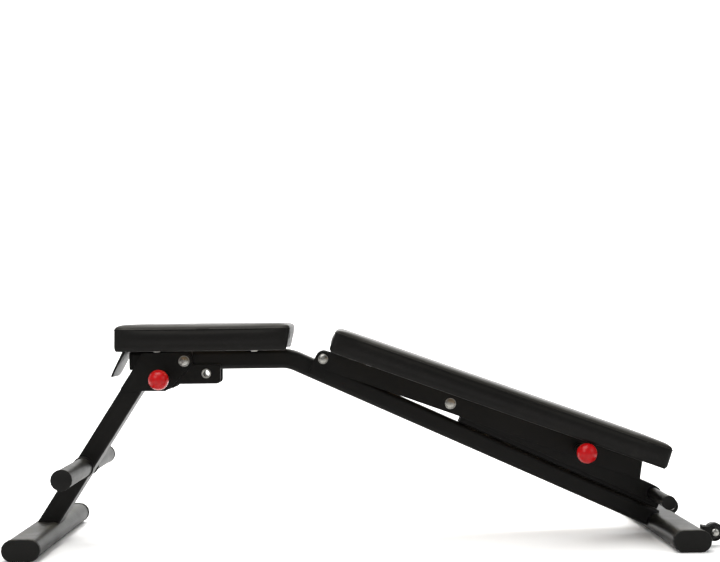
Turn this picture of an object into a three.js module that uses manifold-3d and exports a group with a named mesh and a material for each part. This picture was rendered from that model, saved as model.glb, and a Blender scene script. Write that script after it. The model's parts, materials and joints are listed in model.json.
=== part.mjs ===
// An adjustable weight bench. X runs towards the head end, Z is up, and Y = 0 is the middle plane.
// It stands with its front leg unfolded and its backrest in the lowest of seven positions.
// Every piece is one closed solid; pieces that touch keep a small gap.
import * as THREE from "three";
import { mergeVertices } from "three/addons/utils/BufferGeometryUtils.js";
import Module from "manifold-3d";

const wasm = await Module();
wasm.setup();
const radians = THREE.MathUtils.degToRad;

// Driving dimensions, in millimetres.

// Fits.
const gap = 0.3; // between pieces that touch
const boltFit = 0.3; // a hole's radius over its bolt's
const barFit = 0.5; // a notch's radius over the bar's
const pinShort = 0.4; // a pull pin's nose stops this far from the plate it locks
const plateClearance = 0.5; // between plates that turn past each other

// Main tube: level under the seat, then sloping down to the rear stabiliser.
const tubeWidth = 50;
const tubeDepth = 38;
const tubeCorner = 9;
const tubeWall = 2;
const tubeHeight = 355; // of its axis under the seat
const tubeFront = -418;
const tubeBend = -105;
const bendRadius = 70;
const bendSteps = 5;
const tubeSlope = radians(24.38);
const tubeEndInset = 18; // its axis stops this far before the middle of the stabiliser
const tubeCapThickness = 4;
const tubePlugLength = 18;

// Stabilisers: flattened tubes across the bench, with a rubber cap on each end.
const stabiliserWidth = 69;
const stabiliserDepth = 39;
const stabiliserWall = 2;
const stabiliserLength = 472;
const capLip = 1; // how far a cap stands out round its tube
const capThickness = 13.7;
const capRounding = 3;
const capPlugLength = 20;

// Front leg, which folds under the main tube.
const legPivotX = -313;
const legPivotDrop = 2; // below the main tube's axis
const legAngle = radians(57.39);
const legOffset = 58.2; // of its axis from the pivot, towards the front
const legDepth = 38;
const legCorner = 5;
const legWall = 2;
const legTopDrop = 37; // of its top end below the main tube's axis
const frontStabiliserShift = 7; // behind the point where the leg's axis meets its height
const legFold = radians(109.8);

// Plates round the leg's pivot.
const framePlateThickness = 4.5;
const legPlateThickness = 5;
const legPlateRound = 17;
const framePlateCorner = 8;
const legBoltRadius = 5;
const legBoltHead = 11;
const legBoltHeadHeight = 6;
const legPinReach = 49.7; // of the locking pin from the pivot
const legPinAngle = radians(220);
const lockHoleRadius = 6.3;
const bushRadius = 9.5;

// Foot bar, in two halves that start at the leg's sides.
const footBarRadius = 19;
const footBarWall = 2;
const footBarReach = 238;
const footBarHeight = 146;
const footBarCapThickness = 8;
const footBarCapDome = 4;

// Backrest hinge.
const hingeAlong = 60.6; // past the bend, along the slope
const hingeBoltRadius = 5;
const hingeBoltHead = 10;
const hingeBoltHeadHeight = 5.5;
const hingeRise = tubeDepth / 2 + hingeBoltRadius + 2.2; // above the tube's axis
const earThickness = 5;
const earRadius = 16;
const earFoot = 12; // how far the ears reach below the tube's axis
const restTilt = radians(-20);
const tiltPositions = [-20, 2, 17, 32, 47, 61, 76].map(radians);

// Backrest channel: two walls joined by a web under the pad.
const channelSideClearance = 2.7;
const channelWall = 3;
const channelLength = 661; // of its web
const channelDrop = 18; // of the walls' lower edges below the hinge
const channelTop = 22; // of the web's upper face above the hinge
const channelNose = 16;
const webStart = 4;
const channelEndSlope = 8; // how much further its lower edges reach

// Pads and their boards.
const padWidth = 270;
const padCorner = 10;
const padRounding = 6;
const boardThickness = 12;
const boardInset = 20; // of a board's sides from the pad's
const backPadStart = 4;
const backPadEnd = 690;
const backPadThickness = 44.7;
const backBoardInset = 22;
const backBoltPlaces = [90, 200, 400, 600];
const seatFront = -437;
const seatRear = -95;
const seatRearSlant = 10;
const seatPadThickness = 46.4;

// Screws that hold the boards.
const screwRadius = 4;
const screwHead = 8;
const screwHeadHeight = 2.9;
const screwTipDepth = 2.6; // of board left over the tip

// Strut and its foot bar.
const strutPivot = 266; // along the backrest, from the hinge
const strutLength = 440;
const strutRadius = 16;
const strutWall = 3;
const strutSideClearance = 2;
const strutBoltRadius = 5;
const strutBoltHead = 11;
const strutBoltHeadHeight = 5.5;
const sleeveRadius = 8;
const barRadius = 12.5;
const barWall = 2;
const barReach = 155;
const barCapThickness = 10;
const barAboveTube = 25.4; // of its axis over the main tube's top face

// Ladder plates with a notch for each position.
const ladderInner = 11;
const ladderThickness = 4;
const ladderTopUnderBar = 6;
const ladderOverhang = 22;
const ladderRounding = 6;

// Pull pins with ball knobs.
const pinRadius = 5;
const pinHousingRadius = 9;
const pinHousingFlange = 11;
const pinHousingFlangeLength = 4;
const pinHousingLength = 16.4;
const knobRadius = 19.5;
const knobDistance = 95; // of its middle from the face that its housing sits on
const knobBore = 13; // how far short of its middle the plunger ends
const backPinPlace = 534;

// Seat brackets and lift plate, on top of the main tube.
const bracketThickness = 4;
const bracketWidth = 40;
const bracketReach = 100;
const bracketScrewY = 60;
const bracketScrewPlaces = [-363, -173];
const liftHalfWidth = 54;
const liftRear = -388;
const liftBend = -425;
const liftFront = -452;
const liftDrop = 51; // of its lower edge below its flange
const liftCorner = 16;

// Transport wheels.
const wheelRadius = 17.5;
const wheelWidth = 18;
const wheelChamfer = 3;
const wheelY = 175;
const wheelFloorClearance = 9;
const wheelSetback = 22.5; // of the axle behind the stabiliser
const wheelSideClearance = 1;
const forkThickness = 3;
const forkHalfHeight = 12;
const forkNose = 8;
const axleRadius = 4;
const axleHead = 7.5;
const axleHeadHeight = 4;

// Segments round a turned piece, and in each arc of an outline.
const turnSegments = 16;
const arcSegments = 4;

// Places worked out from them.

const tubeTop = tubeHeight + tubeDepth / 2;
const stabiliserHeight = stabiliserDepth / 2 + capLip;
const slopeLength = (tubeHeight - stabiliserHeight) / Math.sin(tubeSlope);
const rearStabiliserX = tubeBend + slopeLength * Math.cos(tubeSlope);
const legPivotZ = tubeHeight - legPivotDrop;
const sides = [
  ["left", 1],
  ["right", -1],
];

// The level point of the leg's axis at height z.
function legAxisX(z) {
  const axisFromPivot = legPivotX - legOffset * Math.sin(legAngle);
  const axisHeight = legPivotZ + legOffset * Math.cos(legAngle);
  return axisFromPivot - (axisHeight - z) / Math.tan(legAngle);
}

const frontStabiliserX = legAxisX(stabiliserHeight) + frontStabiliserShift;
const framePlateInner = tubeWidth / 2 + gap;
const framePlateOuter = framePlateInner + framePlateThickness;
const legPlateInner = framePlateOuter + plateClearance;
const legPlateOuter = legPlateInner + legPlateThickness;
const legWidth = 2 * (legPlateInner - gap);
const earInner = tubeWidth / 2 + gap;
const earOuter = earInner + earThickness;
const channelInner = earOuter + channelSideClearance;
const channelOuter = channelInner + channelWall;
const webBottom = channelTop - channelWall;
const strutInner = tubeWidth / 2 + strutSideClearance;
const strutOuter = strutInner + strutWall;
const barHeight = tubeDepth / 2 + barAboveTube; // above the tube's axis
const padBottom = channelTop + gap;
const seatPadBottom = tubeTop + gap + bracketThickness + gap;
const wheelX = rearStabiliserX + stabiliserWidth / 2 + wheelSetback;
const wheelZ = wheelRadius + wheelFloorClearance;
const benchFront = frontStabiliserX - stabiliserWidth / 2 - capLip;
const benchRear = wheelX + wheelRadius;

// Angle from the slope up to the backrest at a tilt.
function angleOverSlope(tilt) {
  return tilt + tubeSlope;
}

// The strut's pivot above its foot bar, square to the slope.
function strutDrop(tilt) {
  return hingeRise + strutPivot * Math.sin(angleOverSlope(tilt)) - barHeight;
}

// The seated foot bar's place along the slope, from the bend.
function barAlong(tilt) {
  const pivotAlong = hingeAlong + strutPivot * Math.cos(angleOverSlope(tilt));
  return pivotAlong + Math.sqrt(strutLength ** 2 - strutDrop(tilt) ** 2);
}

// Angle from the backrest down to the strut when its foot bar is seated.
function strutAngle(tilt) {
  return angleOverSlope(tilt) + Math.asin(strutDrop(tilt) / strutLength);
}

// Solids: joining and cutting closed meshes.

function solidOf(geometry) {
  const bare = geometry.clone();
  bare.deleteAttribute("normal");
  bare.deleteAttribute("uv");
  const merged = mergeVertices(bare, 1e-3);
  return new wasm.Manifold(
    new wasm.Mesh({
      numProp: 3,
      vertProperties: merged.attributes.position.array,
      triVerts: new Uint32Array(merged.index.array),
    }),
  );
}

function geometryOf(solid) {
  const { vertProperties, triVerts } = solid.getMesh();
  const geometry = new THREE.BufferGeometry();
  geometry.setAttribute("position", new THREE.BufferAttribute(vertProperties, 3));
  geometry.setIndex(new THREE.BufferAttribute(triVerts, 1));
  geometry.computeVertexNormals();
  return geometry;
}

function cut(geometry, ...tools) {
  const start = solidOf(geometry);
  return geometryOf(tools.reduce((solid, tool) => solid.subtract(solidOf(tool)), start));
}

function join(geometry, ...others) {
  const start = solidOf(geometry);
  return geometryOf(others.reduce((solid, other) => solid.add(solidOf(other)), start));
}

function common(geometry, other) {
  return geometryOf(solidOf(geometry).intersect(solidOf(other)));
}

// Outlines.

function polygon(points) {
  return new THREE.Shape(points.map(([x, y]) => new THREE.Vector2(x, y)));
}

// A polygon whose corners [x, y, radius] are rounded where a radius is given.
function roundedPolygon(corners) {
  const shape = new THREE.Shape();
  corners.forEach(([x, y, radius = 0], index) => {
    const corner = new THREE.Vector2(x, y);
    const before = new THREE.Vector2(...corners.at(index - 1).slice(0, 2));
    const after = new THREE.Vector2(...corners[(index + 1) % corners.length].slice(0, 2));
    const entry = corner.clone().add(before.sub(corner).setLength(radius));
    const exit = corner.clone().add(after.sub(corner).setLength(radius));
    if (index === 0) shape.moveTo(entry.x, entry.y);
    else shape.lineTo(entry.x, entry.y);
    if (radius > 0) shape.quadraticCurveTo(x, y, exit.x, exit.y);
  });
  return shape;
}

function rectangle(xLow, xHigh, yLow, yHigh) {
  return polygon([
    [xLow, yLow],
    [xHigh, yLow],
    [xHigh, yHigh],
    [xLow, yHigh],
  ]);
}

// A rectangle about the origin with round corners, drawn on a Shape or on a Path for a hole.
function roundedRectangle(outline, width, height, radius) {
  const x = width / 2 - radius;
  const y = height / 2 - radius;
  outline.absarc(x, y, radius, 0, Math.PI / 2);
  outline.absarc(-x, y, radius, Math.PI / 2, Math.PI);
  outline.absarc(-x, -y, radius, Math.PI, 1.5 * Math.PI);
  outline.absarc(x, -y, radius, 1.5 * Math.PI, 2 * Math.PI);
  return outline;
}

// Two half circles joined by straight lines, from (x1, y) to (x2, y).
function stadium(outline, x1, x2, y, radius) {
  outline.absarc(x2, y, radius, -Math.PI / 2, Math.PI / 2);
  outline.absarc(x1, y, radius, Math.PI / 2, 1.5 * Math.PI);
  outline.closePath();
  return outline;
}

// Solids from outlines and profiles.

// An outline in X and Z, extruded from y = low to y = high, with optional rounded rims.
function slab(outline, low, high, rounding = 0) {
  const geometry = new THREE.ExtrudeGeometry(outline, {
    depth: high - low - 2 * rounding,
    curveSegments: arcSegments,
    bevelEnabled: rounding > 0,
    bevelThickness: rounding,
    bevelSize: rounding,
    bevelOffset: -rounding,
    bevelSegments: 3,
  });
  return geometry.rotateX(Math.PI / 2).translate(0, high - rounding, 0);
}

// The same on one side of the middle plane.
function sideSlab(sign, outline, inner, outer, rounding = 0) {
  return sign > 0 ? slab(outline, inner, outer, rounding) : slab(outline, -outer, -inner, rounding);
}

// A profile of [radius, y] points, turned about the Y axis.
function turned(profile) {
  return new THREE.LatheGeometry(
    profile.map(([radius, y]) => new THREE.Vector2(radius, y)),
    turnSegments,
  );
}

function rod(radius, low, high) {
  return turned([
    [0, low],
    [radius, low],
    [radius, high],
    [0, high],
  ]);
}

function ring(outerRadius, innerRadius, low, high) {
  return turned([
    [innerRadius, low],
    [outerRadius, low],
    [outerRadius, high],
    [innerRadius, high],
    [innerRadius, low],
  ]);
}

// A hole along Y that clears a bolt of the given radius.
function boltHole(radius, x, z, low, high) {
  return rod(radius + boltFit, low, high).translate(x, 0, z);
}

// A bolt along Y with a domed head on each end, clamping a stack of the given half width.
function throughBolt(radius, headRadius, headHeight, halfSpan) {
  const low = halfSpan + gap;
  const half = [
    [0, low + headHeight],
    [0.55 * headRadius, low + 0.88 * headHeight],
    [0.9 * headRadius, low + 0.45 * headHeight],
    [headRadius, low],
    [radius, low],
  ];
  const mirrored = half.map(([r, y]) => [r, -y]);
  return turned([...mirrored, ...half.toReversed()]);
}

// A screw along Z: a low head from headTop down, and a shank up to tip.
function screw(headTop, tip) {
  const low = headTop - screwHeadHeight;
  const profile = [
    [0, low],
    [0.7 * screwHead, low],
    [screwHead, headTop - 0.4 * screwHeadHeight],
    [screwHead, headTop],
    [screwRadius, headTop],
    [screwRadius, tip],
    [0, tip],
  ];
  return turned(profile).rotateX(Math.PI / 2);
}

function screwHole(low, high) {
  return rod(screwRadius + boltFit, low, high).rotateX(Math.PI / 2);
}

// A path through given points, taken in equal steps of its parameter.
class PointPath extends THREE.Curve {
  constructor(points) {
    super();
    this.points = points;
  }

  getUtoTmapping(u) {
    return u;
  }

  getPoint(t, target = new THREE.Vector3()) {
    const last = this.points.length - 1;
    const index = Math.min(Math.max(Math.floor(t * last), 0), last - 1);
    return target.lerpVectors(this.points[index], this.points[index + 1], t * last - index);
  }
}

// A rounded box section along X, solid or with a wall.
function boxTube(width, depth, corner, wall, low, high) {
  const outline = roundedRectangle(new THREE.Shape(), width, depth, corner);
  if (wall) {
    outline.holes.push(
      roundedRectangle(new THREE.Path(), width - 2 * wall, depth - 2 * wall, corner - wall),
    );
  }
  const geometry = new THREE.ExtrudeGeometry(outline, {
    depth: high - low,
    curveSegments: arcSegments / 2,
    bevelEnabled: false,
  });
  const turn = new THREE.Matrix4().makeBasis(
    new THREE.Vector3(0, 1, 0),
    new THREE.Vector3(0, 0, 1),
    new THREE.Vector3(1, 0, 0),
  );
  return geometry.applyMatrix4(turn).translate(low, 0, 0);
}

// Meshes.

const finishes = {
  paint: { color: 0x171714, roughness: 0.45, metalness: 0.35 },
  vinyl: { color: 0x1b1a19, roughness: 0.55, metalness: 0 },
  rubber: { color: 0x151515, roughness: 0.85, metalness: 0 },
  redBall: { color: 0xc8141c, roughness: 0.12, metalness: 0 },
  zinc: { color: 0xb8b8b4, roughness: 0.35, metalness: 1 },
  wood: { color: 0xb89a6c, roughness: 0.8, metalness: 0 },
  tyre: { color: 0x101010, roughness: 0.7, metalness: 0 },
};

function addMesh(parent, name, geometry, finish) {
  const mesh = new THREE.Mesh(geometry, new THREE.MeshStandardMaterial(finish));
  mesh.name = name;
  parent.add(mesh);
}

function groupAt(parent, x, z, turn) {
  const group = new THREE.Group();
  group.position.set(x, 0, z);
  group.rotation.y = turn;
  parent.add(group);
  return group;
}

// Stabilisers.

function stabiliserOutline(outline, x, grow) {
  const radius = stabiliserDepth / 2 + grow;
  const reach = (stabiliserWidth - stabiliserDepth) / 2;
  return stadium(outline, x - reach, x + reach, stabiliserHeight, radius);
}

// The space that a stabiliser takes up, with a gap round it.
function stabiliserSpace(x) {
  return slab(stabiliserOutline(new THREE.Shape(), x, gap), -legWidth, legWidth);
}

function addStabiliser(parent, end, x) {
  const half = stabiliserLength / 2;
  const outline = stabiliserOutline(new THREE.Shape(), x, 0);
  outline.holes.push(stabiliserOutline(new THREE.Path(), x, -stabiliserWall));
  addMesh(parent, `${end}_stabiliser`, slab(outline, -half, half), finishes.paint);
  for (const [side, sign] of sides) {
    const cover = stabiliserOutline(new THREE.Shape(), x, capLip);
    const plug = stabiliserOutline(new THREE.Shape(), x, -stabiliserWall - gap);
    const face = half + gap;
    const cap = join(
      sideSlab(sign, cover, face, face + capThickness, capRounding),
      sideSlab(sign, plug, face - capPlugLength, face + capRounding),
    );
    addMesh(parent, `${end}_cap_${side}`, cap, finishes.rubber);
  }
}

// Main tube.

function mainTube() {
  const tangent = bendRadius * Math.tan(tubeSlope / 2);
  const bendStart = tubeBend - tangent;
  const path = [new THREE.Vector3(tubeFront, 0, tubeHeight)];
  for (let step = 0; step <= bendSteps; step += 1) {
    const angle = (tubeSlope * step) / bendSteps;
    const x = bendStart + bendRadius * Math.sin(angle);
    path.push(new THREE.Vector3(x, 0, tubeHeight - bendRadius * (1 - Math.cos(angle))));
  }
  const along = slopeLength - tubeEndInset;
  const endX = tubeBend + along * Math.cos(tubeSlope);
  path.push(new THREE.Vector3(endX, 0, tubeHeight - along * Math.sin(tubeSlope)));
  const outline = roundedRectangle(new THREE.Shape(), tubeDepth, tubeWidth, tubeCorner);
  const inside = 2 * tubeWall;
  outline.holes.push(
    roundedRectangle(new THREE.Path(), tubeDepth - inside, tubeWidth - inside, tubeCorner - tubeWall),
  );
  const geometry = new THREE.ExtrudeGeometry(outline, {
    steps: path.length - 1,
    curveSegments: arcSegments / 2,
    extrudePath: new PointPath(path),
  });
  return cut(
    geometry,
    stabiliserSpace(rearStabiliserX),
    boltHole(legBoltRadius, legPivotX, legPivotZ, -tubeWidth, tubeWidth),
  );
}

function addMainTube(frame) {
  addMesh(frame, "main_tube", mainTube(), finishes.paint);
  const inside = 2 * (tubeWall + gap);
  const face = tubeFront - gap;
  const cap = join(
    boxTube(tubeWidth, tubeDepth, tubeCorner, 0, face - tubeCapThickness, face),
    boxTube(
      tubeWidth - inside,
      tubeDepth - inside,
      tubeCorner - tubeWall,
      0,
      face - gap,
      face + tubePlugLength,
    ),
  );
  addMesh(frame, "front_tube_cap", cap.translate(0, 0, tubeHeight), finishes.rubber);
}

// Ladder and hinge, on the slope. The group's x runs down the slope from the bend.

function ladderOutline() {
  const bottom = tubeDepth / 2 + gap;
  const top = barHeight - ladderTopUnderBar;
  const places = tiltPositions.map(barAlong);
  return roundedPolygon([
    [Math.min(...places) - ladderOverhang, bottom],
    [Math.max(...places) + ladderOverhang, bottom],
    [Math.max(...places) + ladderOverhang, top, ladderRounding],
    [Math.min(...places) - ladderOverhang, top, ladderRounding],
  ]);
}

function addSlopePieces(frame) {
  const slope = groupAt(frame, tubeBend, tubeHeight, tubeSlope);
  const ladderOuter = ladderInner + ladderThickness;
  const notches = tiltPositions.map((tilt) =>
    rod(barRadius + barFit, -tubeWidth, tubeWidth).translate(barAlong(tilt), 0, barHeight),
  );
  const ear = new THREE.Shape();
  ear.moveTo(hingeAlong - earRadius, -earFoot);
  ear.lineTo(hingeAlong + earRadius, -earFoot);
  ear.absarc(hingeAlong, hingeRise, earRadius, 0, Math.PI);
  ear.closePath();
  const hole = boltHole(hingeBoltRadius, hingeAlong, hingeRise, -tubeWidth, tubeWidth);
  for (const [side, sign] of sides) {
    const ladder = sideSlab(sign, ladderOutline(), ladderInner, ladderOuter);
    addMesh(slope, `ladder_${side}`, cut(ladder, ...notches), finishes.paint);
    const plate = sideSlab(sign, ear, earInner, earOuter);
    addMesh(slope, `hinge_ear_${side}`, cut(plate, hole), finishes.paint);
  }
  const bolt = throughBolt(hingeBoltRadius, hingeBoltHead, hingeBoltHeadHeight, channelOuter);
  addMesh(slope, "hinge_bolt", bolt.translate(hingeAlong, 0, hingeRise), finishes.zinc);
  return slope;
}

// Plates round the leg's pivot, in a group at the pivot.

// A point given along and across the leg, from the pivot.
function onLeg(along, across) {
  return [
    along * Math.cos(legAngle) - across * Math.sin(legAngle),
    along * Math.sin(legAngle) + across * Math.cos(legAngle),
  ];
}

function legPlateOutline() {
  const top = tubeDepth / 2 - legPivotDrop;
  const front = legOffset + legDepth / 2;
  const shape = new THREE.Shape();
  shape.moveTo(0, top);
  shape.lineTo(-82, top);
  shape.lineTo(...onLeg(-68, front));
  shape.lineTo(...onLeg(-111, front));
  shape.lineTo(...onLeg(-116, front - 2));
  shape.lineTo(...onLeg(-69.6, 0));
  shape.lineTo(-28, -53);
  shape.absarc(0, 0, legPlateRound, radians(-20), radians(90));
  shape.closePath();
  return shape;
}

function framePlateOutline() {
  const top = tubeDepth / 2;
  const step = -7;
  const bottom = -45.3;
  return roundedPolygon([
    [-53, top],
    [-53, -53, 3],
    [-21, -53, 3],
    [-13, bottom],
    [71, bottom, framePlateCorner],
    [71, step, 2],
    [16, step],
    [16, top, 3],
  ]);
}

function addFrontBracket(frame) {
  const bracket = groupAt(frame, legPivotX, legPivotZ, 0);
  const storageAngle = legPinAngle + legFold;
  const storageX = legPinReach * Math.cos(storageAngle);
  const storageZ = legPinReach * Math.sin(storageAngle);
  const lockX = legPinReach * Math.cos(legPinAngle);
  const lockZ = legPinReach * Math.sin(legPinAngle);
  for (const [side, sign] of sides) {
    const plate = cut(
      sideSlab(sign, framePlateOutline(), framePlateInner, framePlateOuter),
      boltHole(legBoltRadius, 0, 0, -legWidth, legWidth),
      rod(bushRadius + boltFit, -legWidth, legWidth).translate(storageX, 0, storageZ),
      rod(lockHoleRadius, -legWidth, 0).translate(lockX, 0, lockZ),
    );
    addMesh(bracket, `leg_bracket_${side}`, plate, finishes.paint);
    const low = sign > 0 ? framePlateInner : -framePlateOuter;
    const bush = ring(bushRadius, lockHoleRadius, low, low + framePlateThickness);
    bush.translate(storageX, 0, storageZ);
    addMesh(bracket, `storage_bush_${side}`, bush, finishes.zinc);
  }
}

// Pull pin on the right side, about the group's origin: face is the plate that its housing sits on.

function addPullPin(parent, name, x, z, face, nose) {
  const base = -face - gap;
  const flangeEnd = base - pinHousingFlangeLength;
  const end = base - pinHousingLength;
  const bore = pinRadius + boltFit;
  const housing = turned([
    [bore, end],
    [pinHousingRadius, end],
    [pinHousingRadius, flangeEnd],
    [pinHousingFlange, flangeEnd],
    [pinHousingFlange, base],
    [bore, base],
    [bore, end],
  ]);
  const middle = -face - knobDistance;
  const tip = middle + knobBore;
  const profile = [[0, middle - knobRadius]];
  const mouthAngle = Math.acos(bore / knobRadius);
  for (let step = 1; step <= 8; step += 1) {
    const angle = -Math.PI / 2 + ((Math.PI / 2 + mouthAngle) * step) / 8;
    profile.push([knobRadius * Math.cos(angle), middle + knobRadius * Math.sin(angle)]);
  }
  profile.push([bore, tip - gap], [0, tip - gap]);
  addMesh(parent, `${name}_housing`, housing.translate(x, 0, z), finishes.paint);
  addMesh(parent, `${name}_plunger`, rod(pinRadius, tip, -nose).translate(x, 0, z), finishes.zinc);
  addMesh(parent, `${name}_knob`, turned(profile).translate(x, 0, z), finishes.redBall);
}

// Front leg.

function legTube() {
  const length = legOffset + legDepth + (legPivotZ + legDepth) / Math.sin(legAngle);
  const tube = boxTube(legWidth, legDepth, legCorner, legWall, -length, 0);
  tube.translate(0, 0, legOffset).rotateY(-legAngle).translate(legPivotX, 0, legPivotZ);
  const legTop = tubeHeight - legTopDrop;
  const reach = 4 * legDepth;
  const above = rectangle(legPivotX - length, legPivotX + reach, legTop, legTop + length);
  const floor = rectangle(
    frontStabiliserX - length,
    frontStabiliserX + length,
    stabiliserHeight - length,
    stabiliserHeight,
  );
  return cut(
    tube,
    slab(above, -legWidth, legWidth),
    slab(floor, -legWidth, legWidth),
    stabiliserSpace(frontStabiliserX),
  );
}

function addFootBars(leg) {
  const x = legAxisX(footBarHeight);
  for (const [side, sign] of sides) {
    const inner = legWidth / 2 + gap;
    const low = sign > 0 ? inner : -footBarReach;
    const bar = ring(footBarRadius, footBarRadius - footBarWall, low, low + footBarReach - inner);
    addMesh(leg, `foot_bar_${side}`, bar.translate(x, 0, footBarHeight), finishes.paint);
    const cap = endCap(footBarRadius, footBarWall, footBarReach, footBarCapThickness, footBarCapDome);
    if (sign < 0) cap.rotateX(Math.PI);
    addMesh(leg, `foot_bar_cap_${side}`, cap.translate(x, 0, footBarHeight), finishes.rubber);
  }
}

// A round tube's end cap at y = reach: a plug inside the tube, a rim and a low dome.
function endCap(radius, wall, reach, thickness, dome) {
  const face = reach + gap;
  const plug = radius - wall - gap;
  const rim = radius + capLip;
  return turned([
    [0, face - capPlugLength],
    [plug, face - capPlugLength],
    [plug, face],
    [rim, face],
    [rim, face + thickness - dome],
    [0.75 * rim, face + thickness - 0.25 * dome],
    [0, face + thickness],
  ]);
}

function addLeg(bench) {
  const leg = groupAt(bench, 0, 0, 0);
  addMesh(leg, "leg_tube", legTube(), finishes.paint);
  addStabiliser(leg, "front", frontStabiliserX);
  addFootBars(leg);
  const pivot = groupAt(leg, legPivotX, legPivotZ, 0);
  const lockX = legPinReach * Math.cos(legPinAngle);
  const lockZ = legPinReach * Math.sin(legPinAngle);
  for (const [side, sign] of sides) {
    const plate = cut(
      sideSlab(sign, legPlateOutline(), legPlateInner, legPlateOuter),
      boltHole(legBoltRadius, 0, 0, -legWidth, legWidth),
      boltHole(pinRadius, lockX, lockZ, -legWidth, 0),
    );
    addMesh(pivot, `leg_plate_${side}`, plate, finishes.paint);
  }
  const bolt = throughBolt(legBoltRadius, legBoltHead, legBoltHeadHeight, legPlateOuter);
  addMesh(pivot, "leg_pivot_bolt", bolt, finishes.zinc);
  addPullPin(pivot, "leg_pin", lockX, lockZ, legPlateOuter, framePlateOuter + pinShort);
}

// Seat, on two brackets across the main tube.

function addSeat(frame) {
  const boardTop = seatPadBottom + boardThickness;
  const bracketBottom = tubeTop + gap;
  const bracketTop = bracketBottom + bracketThickness;
  const screwTip = boardTop - screwTipDepth;
  const rearBottom = seatRear - seatRearSlant;
  const pad = roundedPolygon([
    [seatFront, seatPadBottom, padCorner],
    [rearBottom, seatPadBottom, padCorner],
    [seatRear, seatPadBottom + seatPadThickness, padCorner],
    [seatFront, seatPadBottom + seatPadThickness, padCorner],
  ]);
  const half = padWidth / 2;
  const boardHalf = half - boardInset;
  const boardFront = seatFront + boardInset;
  const boardRear = rearBottom - boardInset;
  const board = slab(rectangle(boardFront, boardRear, seatPadBottom, boardTop), -boardHalf, boardHalf);
  const pocket = rectangle(boardFront - gap, boardRear + gap, seatPadBottom - gap, boardTop + gap);
  const holes = [];
  bracketScrewPlaces.forEach((x, row) => {
    const outline = rectangle(x - bracketWidth / 2, x + bracketWidth / 2, bracketBottom, bracketTop);
    const rowHoles = sides.map(([, sign]) =>
      screwHole(bracketBottom - gap, screwTip + gap).translate(x, sign * bracketScrewY, 0),
    );
    const bracket = cut(slab(outline, -bracketReach, bracketReach), ...rowHoles);
    addMesh(frame, `seat_bracket_${row === 0 ? "front" : "rear"}`, bracket, finishes.paint);
    holes.push(...rowHoles);
    sides.forEach(([, sign], column) => {
      const place = screw(bracketBottom - gap, screwTip).translate(x, sign * bracketScrewY, 0);
      addMesh(frame, `seat_bolt_${2 * row + column + 1}`, place, finishes.zinc);
    });
  });
  addMesh(frame, "seat_board", cut(board, ...holes), finishes.wood);
  const cushion = cut(
    slab(pad, -half, half, padRounding),
    slab(pocket, -boardHalf - gap, boardHalf + gap),
  );
  addMesh(frame, "seat_pad", cushion, finishes.vinyl);
}

// Lift plate: a flange on the tube and a tongue that slopes down in front of it.

function addLiftPlate(frame) {
  const bottom = tubeTop + gap;
  const top = bottom + bracketThickness;
  const tip = bottom - liftDrop;
  const side = polygon([
    [liftRear, bottom],
    [liftRear, top],
    [liftBend - bracketThickness, top],
    [liftFront - bracketThickness, tip],
    [liftFront, tip],
    [liftBend, bottom],
  ]);
  const seen = roundedPolygon([
    [-liftHalfWidth, top],
    [-liftHalfWidth, tip, liftCorner],
    [liftHalfWidth, tip, liftCorner],
    [liftHalfWidth, top],
  ]);
  const mask = slab(seen, -benchRear, benchRear).rotateZ(Math.PI / 2);
  const plate = common(slab(side, -liftHalfWidth, liftHalfWidth), mask);
  addMesh(frame, "lift_plate", plate, finishes.paint);
}

// Transport wheels behind the rear stabiliser.

function addWheels(bench, frame) {
  const back = rearStabiliserX + stabiliserWidth / 2 + gap;
  const forkInner = wheelWidth / 2 + wheelSideClearance;
  const forkOuter = forkInner + forkThickness;
  const outline = new THREE.Shape();
  outline.moveTo(back, wheelZ - forkHalfHeight);
  outline.lineTo(back + forkThickness, wheelZ - forkHalfHeight);
  outline.absarc(wheelX, wheelZ, forkNose, -Math.PI / 2, Math.PI / 2);
  outline.lineTo(back + forkThickness, wheelZ + forkHalfHeight);
  outline.lineTo(back, wheelZ + forkHalfHeight);
  outline.closePath();
  const space = rectangle(
    back + forkThickness,
    wheelX + wheelRadius,
    wheelZ - wheelRadius,
    wheelZ + wheelRadius,
  );
  const half = wheelWidth / 2;
  const bore = axleRadius + boltFit;
  for (const [side, sign] of sides) {
    const y = sign * wheelY;
    const fork = cut(
      slab(outline, -forkOuter, forkOuter),
      slab(space, -forkInner, forkInner),
      boltHole(axleRadius, wheelX, wheelZ, -wheelWidth, wheelWidth),
    );
    addMesh(frame, `wheel_bracket_${side}`, fork.translate(0, y, 0), finishes.paint);
    const axle = throughBolt(axleRadius, axleHead, axleHeadHeight, forkOuter);
    addMesh(frame, `wheel_axle_${side}`, axle.translate(wheelX, y, wheelZ), finishes.zinc);
    const wheel = turned([
      [bore, -half],
      [wheelRadius - wheelChamfer, -half],
      [wheelRadius, wheelChamfer - half],
      [wheelRadius, half - wheelChamfer],
      [wheelRadius - wheelChamfer, half],
      [bore, half],
      [bore, -half],
    ]);
    const hub = groupAt(bench, wheelX, wheelZ, 0);
    hub.position.y = y;
    addMesh(hub, `wheel_${side}`, wheel, finishes.tyre);
  }
}

// Backrest. The group's origin is the hinge; x runs along the backrest and z is square to it.

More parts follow.
